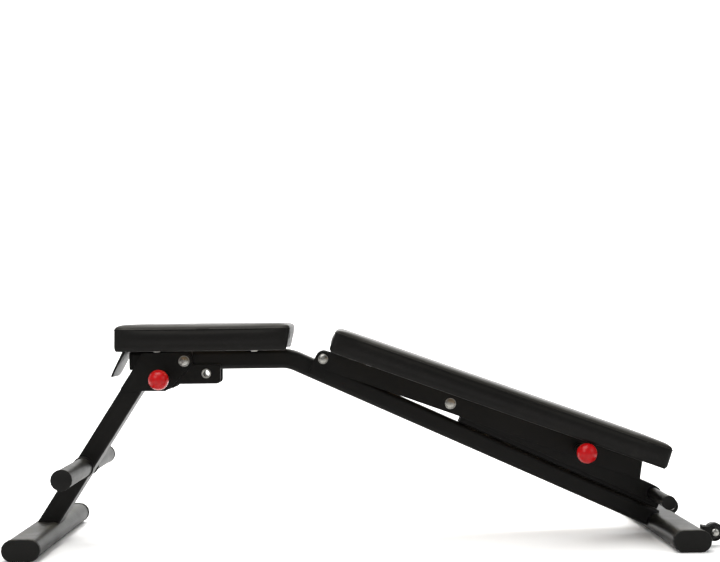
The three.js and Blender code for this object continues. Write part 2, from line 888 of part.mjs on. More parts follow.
function channel() {
  const walls = new THREE.Shape();
  walls.moveTo(webStart, channelTop);
  walls.absarc(0, 0, channelNose, Math.PI / 2, 1.5 * Math.PI);
  walls.lineTo(channelNose, -channelDrop);
  walls.lineTo(channelLength + channelEndSlope, -channelDrop);
  walls.lineTo(channelLength, channelTop);
  walls.closePath();
  const beyond = 2 * channelLength;
  const inside = polygon([
    [-beyond, -beyond],
    [beyond, -beyond],
    [beyond, webBottom],
    [webStart, webBottom],
    [webStart, beyond],
    [-beyond, beyond],
  ]);
  const holes = backBoltPlaces.map((x) => screwHole(0, channelTop + gap).translate(x, 0, 0));
  return cut(
    slab(walls, -channelOuter, channelOuter),
    slab(inside, -channelInner, channelInner),
    boltHole(hingeBoltRadius, 0, 0, -2 * channelOuter, 2 * channelOuter),
    boltHole(strutBoltRadius, strutPivot, 0, -2 * channelOuter, 2 * channelOuter),
    boltHole(pinRadius, backPinPlace, 0, -2 * channelOuter, 0),
    ...holes,
  );
}

function addBackPad(backrest) {
  const top = padBottom + backPadThickness;
  const boardTop = padBottom + boardThickness;
  const tip = boardTop - screwTipDepth;
  const half = padWidth / 2;
  const boardHalf = half - boardInset;
  const start = backPadStart + backBoardInset;
  const end = backPadEnd - backBoardInset;
  const holes = backBoltPlaces.map((x) => screwHole(padBottom - gap, tip + gap).translate(x, 0, 0));
  const board = slab(rectangle(start, end, padBottom, boardTop), -boardHalf, boardHalf);
  addMesh(backrest, "back_board", cut(board, ...holes), finishes.wood);
  const outline = roundedPolygon([
    [backPadStart, padBottom, padCorner],
    [backPadEnd, padBottom, padCorner],
    [backPadEnd, top, padCorner],
    [backPadStart, top, padCorner],
  ]);
  const pocket = rectangle(start - gap, end + gap, padBottom - gap, boardTop + gap);
  const cushion = cut(
    slab(outline, -half, half, padRounding),
    slab(pocket, -boardHalf - gap, boardHalf + gap),
  );
  addMesh(backrest, "back_pad", cushion, finishes.vinyl);
  backBoltPlaces.forEach((x, index) => {
    const place = screw(webBottom - gap, tip).translate(x, 0, 0);
    addMesh(backrest, `back_bolt_${index + 1}`, place, finishes.zinc);
  });
}

// Strut: a channel that hangs from the backrest, with a bar across its foot.

function addStrut(backrest) {
  const strut = groupAt(backrest, strutPivot, 0, strutAngle(restTilt));
  const inside = rectangle(
    -strutLength,
    2 * strutLength,
    -2 * strutRadius,
    strutRadius - strutWall,
  );
  const wide = 2 * strutOuter;
  const body = cut(
    slab(stadium(new THREE.Shape(), 0, strutLength, 0, strutRadius), -strutOuter, strutOuter),
    slab(inside, -strutInner, strutInner),
    boltHole(strutBoltRadius, 0, 0, -wide, wide),
    boltHole(barRadius, strutLength, 0, -wide, wide),
  );
  addMesh(strut, "strut", body, finishes.paint);
  const sleeveHalf = strutInner - gap;
  const sleeve = ring(sleeveRadius, strutBoltRadius + boltFit, -sleeveHalf, sleeveHalf);
  addMesh(strut, "strut_sleeve", sleeve, finishes.zinc);
  const bar = ring(barRadius, barRadius - barWall, -barReach, barReach);
  addMesh(strut, "strut_bar", bar.translate(strutLength, 0, 0), finishes.paint);
  for (const [side, sign] of sides) {
    const cap = endCap(barRadius, barWall, barReach, barCapThickness, barWall);
    if (sign < 0) cap.rotateX(Math.PI);
    addMesh(strut, `strut_bar_cap_${side}`, cap.translate(strutLength, 0, 0), finishes.rubber);
  }
}

function addBackrest(slope) {
  const backrest = groupAt(slope, hingeAlong, hingeRise, -angleOverSlope(restTilt));
  addMesh(backrest, "back_channel", channel(), finishes.paint);
  addBackPad(backrest);
  const bolt = throughBolt(strutBoltRadius, strutBoltHead, strutBoltHeadHeight, channelOuter);
  addMesh(backrest, "strut_bolt", bolt.translate(strutPivot, 0, 0), finishes.zinc);
  addPullPin(backrest, "back_pin", backPinPlace, 0, channelOuter, strutOuter + pinShort);
  addStrut(backrest);
}

const bench = new THREE.Group();
const frame = groupAt(bench, 0, 0, 0);
addMainTube(frame);
addStabiliser(frame, "rear", rearStabiliserX);
addFrontBracket(frame);
addLiftPlate(frame);
addSeat(frame);
addLeg(bench);
addBackrest(addSlopePieces(frame));
addWheels(bench, frame);
bench.position.x = -(benchFront + benchRear) / 2;

export default bench;
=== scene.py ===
import bpy
import bmesh
import json
import math
from mathutils import Matrix, Vector


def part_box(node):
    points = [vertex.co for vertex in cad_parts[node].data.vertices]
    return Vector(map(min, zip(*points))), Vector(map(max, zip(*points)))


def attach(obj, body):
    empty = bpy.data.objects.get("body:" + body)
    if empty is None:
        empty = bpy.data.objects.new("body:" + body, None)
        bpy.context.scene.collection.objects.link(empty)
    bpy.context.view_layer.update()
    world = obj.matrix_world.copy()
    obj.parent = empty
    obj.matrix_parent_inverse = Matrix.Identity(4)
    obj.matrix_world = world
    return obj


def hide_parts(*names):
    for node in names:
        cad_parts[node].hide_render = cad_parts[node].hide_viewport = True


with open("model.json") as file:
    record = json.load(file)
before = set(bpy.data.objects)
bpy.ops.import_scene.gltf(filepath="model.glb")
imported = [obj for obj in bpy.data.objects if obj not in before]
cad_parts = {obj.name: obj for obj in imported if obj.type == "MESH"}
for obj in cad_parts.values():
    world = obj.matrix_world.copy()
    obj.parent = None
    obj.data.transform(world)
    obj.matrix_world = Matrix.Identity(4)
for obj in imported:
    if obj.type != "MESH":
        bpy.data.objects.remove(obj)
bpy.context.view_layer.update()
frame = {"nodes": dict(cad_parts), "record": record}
nodeSlots = {part["node"]: part["material_slot"] for part in frame["record"]["subparts"]}
behaviour = frame["record"]["behaviour"]
nodeBodies = {node: body for body, nodes in behaviour["bodies"].items() for node in nodes}
print("frame loaded:", len(frame["nodes"]), "nodes")

# camera, floor and lights

cameraSettings = {
    "place": Vector((-0.0421, -2.788, 0.442)),
    "turnRight": math.radians(0.74),
    "pitchUp": math.radians(1.35),
    "roll": math.radians(-0.7),
    "lens": 69.7,
    "sensor": 36.0,
    "farthest": 60.0,
}

floorSettings = {"front": -6.0, "bend": 3.2, "bendRadius": 1.4, "wallTop": 6.0, "halfWidth": 9.0,
                 "bendSteps": 16}

lightSettings = {
    "overhead": {"place": (-0.3, 0.1, 2.6), "aim": (0, 0, 0.2), "size": (3.2, 1.8), "power": 85,
                 "colour": (1.0, 0.99, 0.97)},
    "frontKey": {"place": (-2.0, -2.4, 2.3), "aim": (0, 0, 0.2), "size": (1.6, 1.4), "power": 30,
                 "colour": (1.0, 1.0, 1.0)},
    "rightFill": {"place": (2.6, -1.6, 1.6), "aim": (0, 0, 0.2), "size": (1.6, 1.6), "power": 14,
                  "colour": (0.96, 0.98, 1.0)},
    "backRim": {"place": (0.6, 2.4, 1.9), "aim": (0, 0, 0.2), "size": (2.6, 1.0), "power": 30,
                "colour": (1.0, 1.0, 1.0)},
    "wallWash": {"place": (0, 1.6, 3.6), "aim": (0, 4.6, 1.2), "size": (7.0, 1.2), "power": 330,
                 "colour": (1.0, 1.0, 1.0)},
}


def addCamera(settings):
    lens = bpy.data.cameras.new("camera")
    lens.lens = settings["lens"]
    lens.sensor_width = settings["sensor"]
    lens.clip_end = settings["farthest"]
    camera = bpy.data.objects.new("camera", lens)
    bpy.context.collection.objects.link(camera)
    turn = Matrix.Rotation(-settings["turnRight"], 4, "Z")
    pitch = Matrix.Rotation(math.pi / 2 + settings["pitchUp"], 4, "X")
    roll = Matrix.Rotation(settings["roll"], 4, "Z")
    camera.matrix_world = Matrix.Translation(settings["place"]) @ turn @ pitch @ roll
    bpy.context.scene.camera = camera


def addFloor(settings, material):
    build = bmesh.new()
    radius = settings["bendRadius"]
    first = build.verts.new((-settings["halfWidth"], settings["front"], 0))
    row = [first, build.verts.new((-settings["halfWidth"], settings["bend"], 0))]
    edges = [build.edges.new(row)]
    around = Vector((0, settings["bend"], radius))
    bend = bmesh.ops.spin(build, geom=[row[1]], cent=around, axis=(1, 0, 0), angle=math.pi / 2,
                          steps=settings["bendSteps"])
    last = [piece for piece in bend["geom_last"] if isinstance(piece, bmesh.types.BMVert)][0]
    top = build.verts.new((-settings["halfWidth"], last.co.y, settings["wallTop"]))
    build.edges.new((last, top))
    wide = bmesh.ops.extrude_edge_only(build, edges=build.edges[:])
    moved = [piece for piece in wide["geom"] if isinstance(piece, bmesh.types.BMVert)]
    bmesh.ops.translate(build, verts=moved, vec=(2 * settings["halfWidth"], 0, 0))
    bmesh.ops.remove_doubles(build, verts=build.verts[:], dist=1e-5)
    bmesh.ops.recalc_face_normals(build, faces=build.faces[:])
    for face in build.faces:
        face.smooth = True
    mesh = bpy.data.meshes.new("studioFloor")
    build.to_mesh(mesh)
    build.free()
    floor = bpy.data.objects.new("studioFloor", mesh)
    bpy.context.collection.objects.link(floor)
    mesh.materials.append(material)


def addLights(settings):
    for name, light in settings.items():
        lamp = bpy.data.lights.new(name, "AREA")
        lamp.shape = "RECTANGLE"
        lamp.size, lamp.size_y = light["size"]
        lamp.energy = light["power"]
        lamp.color = light["colour"]
        lampObject = bpy.data.objects.new(name, lamp)
        bpy.context.collection.objects.link(lampObject)
        place = Vector(light["place"])
        facing = (Vector(light["aim"]) - place).to_track_quat("-Z", "Y").to_matrix().to_4x4()
        lampObject.matrix_world = Matrix.Translation(place) @ facing
    world = bpy.data.worlds.new("softRoom")
    world.use_nodes = True
    room = world.node_tree.nodes["Background"]
    room.inputs["Color"].default_value = (1.0, 1.0, 1.0, 1.0)
    room.inputs["Strength"].default_value = 0.45
    bpy.context.scene.world = world


# shader sums: one class wraps a socket, and its operators add Math nodes

class Wire:
    def __init__(self, shader, socket):
        self.shader = shader
        self.socket = socket

    def math(self, operation, first, second):
        return self.shader.add("ShaderNodeMath", {"operation": operation}, first, second)

    def __add__(self, other):
        return self.math("ADD", self, other)

    def __sub__(self, other):
        return self.math("SUBTRACT", self, other)

    def __mul__(self, other):
        return self.math("MULTIPLY", self, other)

    def __radd__(self, other):
        return self.math("ADD", other, self)

    def __rsub__(self, other):
        return self.math("SUBTRACT", other, self)

    def __rmul__(self, other):
        return self.math("MULTIPLY", other, self)


class Shader:
    def __init__(self, name):
        self.material = bpy.data.materials.new(name)
        self.material.use_nodes = True
        self.tree = self.material.node_tree
        self.surface = self.tree.nodes["Principled BSDF"]

    def add(self, kind, settings, *values, output=0, **named):
        node = self.tree.nodes.new(kind)
        for key, value in settings.items():
            setattr(node, key, value)
        pairs = list(enumerate(values)) + [(key.replace("_", " "), value) for key, value in named.items()]
        for key, value in pairs:
            self.feed(node.inputs[key], value)
        return Wire(self, node.outputs[output])

    def feed(self, socket, value):
        if isinstance(value, Wire):
            self.tree.links.new(value.socket, socket)
        else:
            socket.default_value = value

    def set(self, **values):
        for key, value in values.items():
            self.feed(self.surface.inputs[key.replace("_", " ")], value)

    def place(self):
        return self.add("ShaderNodeTexCoord", {}, output="Object")

    def noise(self, scale, detail=3.0, roughness=0.5):
        return self.add("ShaderNodeTexNoise", {}, Vector=self.place(), Scale=scale, Detail=detail,
                        Roughness=roughness)

    def ramp(self, value, low, high, start=0.0, end=1.0):
        return self.add("ShaderNodeMapRange", {"clamp": True}, value, low, high, start, end)

    def mix(self, factor, first, second):
        node = self.tree.nodes.new("ShaderNodeMix")
        node.data_type = "RGBA"
        for index, value in ((0, factor), (6, first), (7, second)):
            self.feed(node.inputs[index], value)
        return Wire(self, node.outputs[2])

    def bump(self, height, strength, distance, under=None):
        given = {"Height": height, "Strength": strength, "Distance": distance}
        if under is not None:
            given["Normal"] = under
        return self.add("ShaderNodeBump", {}, **given)

    def upward(self):
        normal = self.add("ShaderNodeNewGeometry", {}, output="Normal")
        return self.add("ShaderNodeSeparateXYZ", {}, normal, output="Z")


def makePowderCoat():
    shader = Shader("blackPowderCoat")
    patches = shader.noise(14.0, 4.0)
    peel = shader.noise(1500.0, 2.0)
    waves = shader.noise(260.0, 2.0)
    # painted top light: faces that point up get a lighter taupe in place of overhead light and grazing
    # sheen, broken into patches by a dust noise
    paintedTopLightAndDust = shader.ramp(shader.upward(), 0.55, 1.0) * shader.ramp(shader.noise(55.0, 5.0), 0.35, 0.75)
    coat = shader.mix(patches, (0.0030, 0.0029, 0.0026, 1), (0.0058, 0.0055, 0.0048, 1))
    # the lighter taupe mixed in here is painted top light together with dust
    colour = shader.mix(paintedTopLightAndDust * 0.8, coat, (0.062, 0.057, 0.044, 1))
    relief = shader.bump(peel, 0.10, 0.0003, shader.bump(waves, 0.05, 0.0008))
    shader.set(Base_Color=colour, Roughness=shader.ramp(patches, 0.2, 0.8, 0.36, 0.46) + paintedTopLightAndDust * 0.12,
               Normal=relief, Specular_IOR_Level=0.12)
    return shader.material


def makeVinyl():
    shader = Shader("blackVinyl")
    cells = shader.add("ShaderNodeTexVoronoi", {"feature": "DISTANCE_TO_EDGE"}, Vector=shader.place(),
                       Scale=520.0)
    grain = shader.ramp(cells, 0.0, 0.22)
    pores = shader.noise(2400.0, 2.0)
    cloud = shader.noise(9.0, 4.0)
    scuffs = shader.ramp(shader.noise(34.0, 8.0, 0.7), 0.58, 0.74)
    # painted top sheen: faces that point up get a lighter taupe in place of the lamps' grazing reflection,
    # only slightly uneven
    paintedTopSheen = shader.ramp(shader.upward(), 0.25, 0.9) * shader.ramp(shader.noise(5.0, 3.0), 0.2, 0.8, 0.6, 1.0)
    base = shader.mix(cloud, (0.0028, 0.0026, 0.0023, 1), (0.0054, 0.0050, 0.0044, 1))
    # mixes in the painted top sheen colour
    top = shader.mix(paintedTopSheen * 0.6, base, (0.046, 0.042, 0.033, 1))
    colour = shader.mix(scuffs * 0.2, top, (0.024, 0.022, 0.018, 1))
    relief = shader.bump(grain + pores * 0.3, 0.16, 0.0005, shader.bump(cloud, 0.12, 0.006))
    rough = shader.ramp(cloud, 0.25, 0.75, 0.40, 0.50) + scuffs * 0.08 - grain * 0.05
    shader.set(Base_Color=colour, Roughness=rough, Normal=relief, Specular_IOR_Level=0.13)
    return shader.material


def makeRubber():
    shader = Shader("blackRubber")
    patches = shader.noise(40.0, 4.0)
    skin = shader.noise(1800.0, 3.0)
    # painted top light: faces that point up get a lighter taupe in place of overhead light, broken into
    # patches by a dust noise
    paintedTopLightAndDust = shader.ramp(shader.upward(), 0.5, 1.0) * shader.ramp(shader.noise(70.0, 5.0), 0.3, 0.8)
    base = shader.mix(patches, (0.0042, 0.0041, 0.0038, 1), (0.008, 0.0077, 0.0070, 1))
    # the lighter taupe in the base colour is painted top light together with dust
    shader.set(Base_Color=shader.mix(paintedTopLightAndDust * 0.8, base, (0.062, 0.057, 0.044, 1)), Specular_IOR_Level=0.14,
               Roughness=shader.ramp(patches, 0.2, 0.8, 0.58, 0.72), Normal=shader.bump(skin, 0.18, 0.0004))
    return shader.material


def makeRedBall():
    shader = Shader("glossRedPhenolic")
    cloud = shader.noise(60.0, 3.0)
    ripple = shader.noise(180.0, 2.0)
    shader.set(Base_Color=shader.mix(cloud, (0.36, 0.0022, 0.0036, 1), (0.42, 0.0036, 0.0055, 1)),
               Roughness=shader.ramp(cloud, 0.3, 0.7, 0.20, 0.26), Normal=shader.bump(ripple, 0.02, 0.0006),
               Specular_IOR_Level=0.22)
    return shader.material


def makeZinc():
    shader = Shader("brightZinc")
    spangle = shader.noise(320.0, 4.0, 0.6)
    tarnish = shader.noise(90.0, 4.0)
    shader.set(Base_Color=shader.mix(tarnish, (0.20, 0.195, 0.18, 1), (0.42, 0.415, 0.39, 1)), Metallic=1.0,
               Roughness=shader.ramp(spangle, 0.25, 0.75, 0.22, 0.40),
               Normal=shader.bump(spangle, 0.06, 0.0003))
    return shader.material


def makePlywood():
    shader = Shader("barePlywood")
    stretched = shader.add("ShaderNodeMapping", {}, Vector=shader.place(), Scale=(6.0, 90.0, 90.0))
    figure = shader.add("ShaderNodeTexNoise", {}, Vector=stretched, Scale=1.0, Detail=6.0, Distortion=0.6)
    fibres = shader.add("ShaderNodeTexNoise", {}, Vector=stretched, Scale=9.0, Detail=4.0)
    colour = shader.mix(shader.ramp(figure, 0.3, 0.7), (0.36, 0.23, 0.12, 1), (0.52, 0.37, 0.21, 1))
    shader.set(Base_Color=colour, Roughness=shader.ramp(fibres, 0.2, 0.8, 0.62, 0.8),
               Normal=shader.bump(fibres, 0.25, 0.0005))
    return shader.material


def makeWheelPlastic():
    shader = Shader("blackWheelPlastic")
    wear = shader.ramp(shader.noise(120.0, 6.0, 0.65), 0.5, 0.72)
    skin = shader.noise(1400.0, 2.0)
    shader.set(Base_Color=shader.mix(wear * 0.5, (0.006, 0.006, 0.0055, 1), (0.045, 0.042, 0.036, 1)),
               Roughness=0.34 + wear * 0.25, Normal=shader.bump(skin + wear * 0.5, 0.12, 0.0004),
               Specular_IOR_Level=0.22)
    return shader.material


def makeStudioPaper():
    shader = Shader("palePaper")
    cloud = shader.noise(0.8, 3.0)
    shader.set(Base_Color=shader.mix(cloud, (0.86, 0.86, 0.855, 1), (0.89, 0.89, 0.885, 1)),
               Roughness=shader.ramp(cloud, 0.2, 0.8, 0.72, 0.8))
    return shader.material


slotMaterials = {
    "frame_paint": makePowderCoat(),
    "vinyl": makeVinyl(),
    "rubber": makeRubber(),
    "red_ball": makeRedBall(),
    "zinc": makeZinc(),
    "board": makePlywood(),
    "wheel": makeWheelPlastic(),
}
for node, cadObject in frame["nodes"].items():
    for place in cadObject.material_slots:
        place.material = slotMaterials[nodeSlots[node]]
print("materials made:", len(slotMaterials))


# pieces that take the place of a node, or go with one

def meshObject(name, build):
    mesh = bpy.data.meshes.new(name)
    build.to_mesh(mesh)
    build.free()
    piece = bpy.data.objects.new(name, mesh)
    bpy.context.collection.objects.link(piece)
    return piece


def settle(piece, node, slotName=None, standsFor=True):
    slotName = slotName or nodeSlots[node]
    piece.data.materials.clear()
    piece.data.materials.append(slotMaterials[slotName])
    if standsFor:
        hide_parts(node)
    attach(piece, nodeBodies[node])


def shadeByAngle(build, sharpest):
    for face in build.faces:
        face.smooth = True
    for edge in build.edges:
        edge.smooth = len(edge.link_faces) != 2 or edge.calc_face_angle(0) < sharpest


edgeFinish = {"merge": 0.00002, "flat": math.radians(0.5), "sharp": math.radians(34), "radius": 0.0007,
              "steps": 2, "stillSharp": math.radians(50)}


def refineNode(node, settings, radius=None):
    build = bmesh.new()
    build.from_mesh(frame["nodes"][node].data)
    bmesh.ops.remove_doubles(build, verts=build.verts[:], dist=settings["merge"])
    bmesh.ops.dissolve_limit(build, angle_limit=settings["flat"], verts=build.verts[:], edges=build.edges[:])
    rims = [edge for edge in build.edges
            if len(edge.link_faces) == 2 and edge.calc_face_angle(0) > settings["sharp"]]
    bmesh.ops.bevel(build, geom=rims, offset=radius or settings["radius"], offset_type="OFFSET",
                    segments=settings["steps"], profile=0.5, affect="EDGES", clamp_overlap=True,
                    material=-1)
    shadeByAngle(build, settings["stillSharp"])
    piece = meshObject(node + "Finished", build)
    weigh = piece.modifiers.new("evenNormals", "WEIGHTED_NORMAL")
    weigh.keep_sharp = True
    settle(piece, node)


keptNodes = ("seat_board", "back_board", "strut_sleeve")
turnedNodes = ("leg_pin_knob", "back_pin_knob", "wheel_left", "wheel_right", "hinge_bolt", "strut_bolt",
               "leg_pivot_bolt")
softNodes = ("seat_pad", "back_pad")
for node in frame["nodes"]:
    if node not in keptNodes + turnedNodes + softNodes:
        refineNode(node, edgeFinish)
print("hard pieces finished")


# turned pieces: a profile of (radius, y) points, spun round the Y axis through a centre

def centreOf(node):
    low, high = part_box(node)
    return (Vector(low) + Vector(high)) / 2


turnedSharp = math.radians(38)


def spinProfile(profile, centre, steps):
    build = bmesh.new()
    points = [build.verts.new((radius, along, 0)) for radius, along in profile]
    for first, second in zip(points, points[1:]):
        build.edges.new((first, second))
    bmesh.ops.spin(build, geom=build.verts[:] + build.edges[:], cent=(0, 0, 0), axis=(0, 1, 0),
                   angle=2 * math.pi, steps=steps, use_merge=True)
    bmesh.ops.remove_doubles(build, verts=build.verts[:], dist=1e-6)
    bmesh.ops.recalc_face_normals(build, faces=build.faces[:])
    shadeByAngle(build, turnedSharp)
    bmesh.ops.translate(build, verts=build.verts[:], vec=centre)
    return build


knobShape = {"radius": 0.0195, "neck": 0.0085, "neckReach": 0.0210, "bore": 0.0053, "boreDepth": 0.012,
             "neckChamfer": 0.001, "arcSteps": 22, "spinSteps": 48}


def addKnob(node, plunger):
    low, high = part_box(node)
    centre = centreOf(plunger)
    centre.y = low.y + knobShape["radius"]
    start = math.acos(knobShape["neck"] / knobShape["radius"])
    profile = [(0, knobShape["boreDepth"]), (knobShape["bore"], knobShape["boreDepth"]),
               (knobShape["bore"], knobShape["neckReach"]),
               (knobShape["neck"] - knobShape["neckChamfer"], knobShape["neckReach"]),
               (knobShape["neck"], knobShape["neckReach"] - knobShape["neckChamfer"])]
    for step in range(knobShape["arcSteps"] + 1):
        angle = start - (start + math.pi / 2) * step / knobShape["arcSteps"]
        profile.append((knobShape["radius"] * math.cos(angle), knobShape["radius"] * math.sin(angle)))
    profile[-1] = (0, -knobShape["radius"])
    settle(meshObject(node + "Turned", spinProfile(profile, centre, knobShape["spinSteps"])), node)


addKnob("leg_pin_knob", "leg_pin_plunger")
addKnob("back_pin_knob", "back_pin_plunger")

wheelShape = {"bore": 0.0043, "hub": 0.0075, "hubSlope": 0.001, "dish": 0.0035, "rim": 0.0135,
              "rimSlope": 0.0012, "rimDrop": 0.0006, "shoulder": 0.0022, "shoulderDrop": 0.0004,
              "treadDrop": 0.0006,
              "shoulderWidth": 0.7, "treadWidth": 1.6, "groove": 0.0011, "grooveHalf": 0.0014,
              "grooveFloor": 0.5, "steps": 48}


def addWheel(node):
    low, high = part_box(node)
    radius = (high.z - low.z) / 2
    half = (high.y - low.y) / 2
    shape = wheelShape
    side = [(shape["bore"], half), (shape["hub"], half),
            (shape["hub"] + shape["hubSlope"], half - shape["dish"]),
            (shape["rim"], half - shape["dish"]),
            (shape["rim"] + shape["rimSlope"], half - shape["rimDrop"]),
            (radius - shape["shoulder"], half - shape["shoulderDrop"]),
            (radius - shape["treadDrop"], half - shape["shoulder"] * shape["shoulderWidth"]),
            (radius, half - shape["shoulder"] * shape["treadWidth"]), (radius, shape["grooveHalf"]),
            (radius - shape["groove"], shape["grooveHalf"] * shape["grooveFloor"])]
    other = [(reach, -along) for reach, along in reversed(side)]
    profile = side + other + [side[0]]
    settle(meshObject(node + "Turned", spinProfile(profile, (low + high) / 2, shape["steps"])), node)


for node in ("wheel_left", "wheel_right"):
    addWheel(node)

boltShape = {"shank": 0.005, "clearance": 0.0003, "washerThickness": 0.0014, "washerEdge": 0.0004,
             "headShare": 0.84, "rise": 0.0012, "headSteps": 8, "spinSteps": 40}


# domed head on a thin washer, at both ends of a shank
def addThroughBolt(node, face):
    low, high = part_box(node)
    radius = (high.z - low.z) / 2
    end = (high.y - low.y) / 2
    start = face + boltShape["clearance"]
    seat = start + boltShape["washerThickness"]
    crown = radius * boltShape["headShare"]
    edge = boltShape["washerEdge"]
    half = [(0, end)]
    for step in range(1, boltShape["headSteps"] + 1):
        angle = math.pi / 2 * step / boltShape["headSteps"]
        rise = (end - seat - boltShape["rise"]) * math.cos(angle)
        half.append((crown * math.sin(angle), seat + boltShape["rise"] + rise))
    half += [(crown, seat), (radius - edge, seat), (radius, seat - edge), (radius, start),
             (boltShape["shank"], start)]
    profile = half + [(reach, -along) for reach, along in reversed(half)]
    settle(meshObject(node + "Turned", spinProfile(profile, centreOf(node), boltShape["spinSteps"])), node)


channelHalf = (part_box("back_channel")[1].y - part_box("back_channel")[0].y) / 2
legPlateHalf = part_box("leg_plate_left")[1].y
addThroughBolt("hinge_bolt", channelHalf)
addThroughBolt("strut_bolt", channelHalf)
addThroughBolt("leg_pivot_bolt", legPlateHalf)
print("turned pieces made")


# weld beads: a wavy round bead along a straight seam

weldShape = {"radius": 0.0026, "ring": 8, "ringSteps": 72, "pitch": 0.0032, "fewest": 4, "ripple": 0.14,
             "endTaper": 0.35, "tubeCorner": 0.007, "endGap": 0.004, "bracketDrop": 0.0012, "legGap": 0.0008}


def addWeld(name, node, start, end):
    run = Vector(end) - Vector(start)
    count = max(weldShape["fewest"], round(run.length / weldShape["pitch"] * 2))
    build = bmesh.new()
    ring = bmesh.ops.create_circle(build, segments=weldShape["ring"], radius=weldShape["radius"],
                                   cap_ends=False)
    turn = Vector((0, 0, 1)).rotation_difference(run).to_matrix()
    bmesh.ops.rotate(build, verts=ring["verts"], cent=(0, 0, 0), matrix=turn)
    bmesh.ops.translate(build, verts=ring["verts"], vec=start)
    edges = build.edges[:]
    rings = [ring["verts"]]
    for _ in range(count):
        grown = bmesh.ops.extrude_edge_only(build, edges=edges)["geom"]
        edges = [piece for piece in grown
                 if isinstance(piece, bmesh.types.BMEdge) and len(piece.link_faces) == 1]
        rings.append([piece for piece in grown if isinstance(piece, bmesh.types.BMVert)])
        bmesh.ops.translate(build, verts=rings[-1], vec=run / count)
    for index, loop in enumerate(rings):
        middle = sum((vert.co for vert in loop), Vector()) / len(loop)
        taper = weldShape["endTaper"] if index in (0, count) else 1.0
        size = taper * (1 + weldShape["ripple"] * (1 if index % 2 else -1))
        bmesh.ops.scale(build, vec=(size, size, size), verts=loop, space=Matrix.Translation(-middle))
    bmesh.ops.holes_fill(build, edges=build.edges[:], sides=0)
    bmesh.ops.recalc_face_normals(build, faces=build.faces[:])
    for face in build.faces:
        face.smooth = True
    settle(meshObject(name, build), node, standsFor=False)


def addRingWeld(name, node, centre, radius):
    build = bmesh.new()
    ring = bmesh.ops.create_circle(build, segments=weldShape["ring"], radius=weldShape["radius"],
                                   cap_ends=False)
    bmesh.ops.translate(build, verts=ring["verts"], vec=(radius, 0, 0))
    bmesh.ops.spin(build, geom=build.verts[:] + build.edges[:], cent=(0, 0, 0), axis=(0, 1, 0),
                   angle=2 * math.pi, steps=weldShape["ringSteps"], use_merge=True)
    bmesh.ops.remove_doubles(build, verts=build.verts[:], dist=1e-6)
    bmesh.ops.recalc_face_normals(build, faces=build.faces[:])
    bmesh.ops.translate(build, verts=build.verts[:], vec=centre)
    for face in build.faces:
        face.smooth = True
    settle(meshObject(name, build), node, standsFor=False)


def addWelds():
    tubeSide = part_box("main_tube")[1].y - weldShape["tubeCorner"]
    for name in ("seat_bracket_front", "seat_bracket_rear"):
        low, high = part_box(name)
        start, end = low.x + weldShape["endGap"], high.x - weldShape["endGap"]
        height = low.z - weldShape["bracketDrop"]
        for side, sign in (("Left", 1), ("Right", -1)):
            addWeld(name.replace("_", "") + "Weld" + side, name, (start, sign * tubeSide, height),
                    (end, sign * tubeSide, height))
    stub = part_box("foot_bar_left")
    legHalf = stub[0].y
    middle = (stub[0] + stub[1]) / 2
    reach = (stub[1].z - stub[0].z) / 2
    for side, sign in (("Left", 1), ("Right", -1)):
        place = (middle.x, sign * (legHalf + weldShape["legGap"]), middle.z)
        addRingWeld("footBarWeld" + side, "foot_bar_" + side.lower(), place, reach)


addWelds()
print("welds made")


# cushions: crowned foam under vinyl, made in the pad's own frame and then turned into place

cushionShape = {"sideInset": 0.0008, "topInset": 0.0012, "cornerRadius": 0.009, "topRadius": 0.0055,
                "edgeSteps": 4, "voxel": 0.0045, "pressure": 3.2, "frames": 12, "cap": 0.0022,
                "tension": 18.0, "bending": 0.6, "pinned": 0.012, "pocketMargin": 0.0004, "crown": 0.0015,
                "crownPower": 6, "slantPower": 8, "relaxPasses": 1, "relaxFactor": 0.5, "lipStart": 0.016,
                "lipEnd": 0.008, "lipFade": 0.6, "lowerShare": 3, "lowerSteps": 2, "rimShare": 0.01,
                "sharp": math.radians(50), "fill": 0.9}

def cushionBlock(length, width, depth, shape):
    build = bmesh.new()
    bmesh.ops.create_cube(build, size=1.0)
    bmesh.ops.scale(build, vec=(length, width, depth), verts=build.verts[:])
    bmesh.ops.translate(build, verts=build.verts[:], vec=(0, 0, depth / 2))
    upright = [edge for edge in build.edges if abs(edge.verts[0].co.z - edge.verts[1].co.z) > depth / 2]
    bmesh.ops.bevel(build, geom=upright, offset=shape["cornerRadius"], offset_type="OFFSET",
                    segments=shape["edgeSteps"], profile=0.5, affect="EDGES", material=-1)
    nearTop, nearBase = depth * (1 - shape["rimShare"]), depth * shape["rimShare"]
    upper = [edge for edge in build.edges if min(vert.co.z for vert in edge.verts) > nearTop]
    bmesh.ops.bevel(build, geom=upper, offset=shape["topRadius"], offset_type="OFFSET",
                    segments=shape["edgeSteps"], profile=0.5, affect="EDGES", material=-1)
    lower = [edge for edge in build.edges if max(vert.co.z for vert in edge.verts) < nearBase]
    bmesh.ops.bevel(build, geom=lower, offset=shape["topRadius"] / shape["lowerShare"], offset_type="OFFSET",
                    segments=shape["lowerSteps"], profile=0.5, affect="EDGES", material=-1)
    return build


def applyModifiers(piece):
    graph = bpy.context.evaluated_depsgraph_get()
    finished = bpy.data.meshes.new_from_object(piece.evaluated_get(graph))
    piece.modifiers.clear()
    piece.data = finished


def evenSkin(piece, voxel):
    remesh = piece.modifiers.new("evenSkin", "REMESH")
    remesh.mode = "VOXEL"
    remesh.voxel_size = voxel
    applyModifiers(piece)


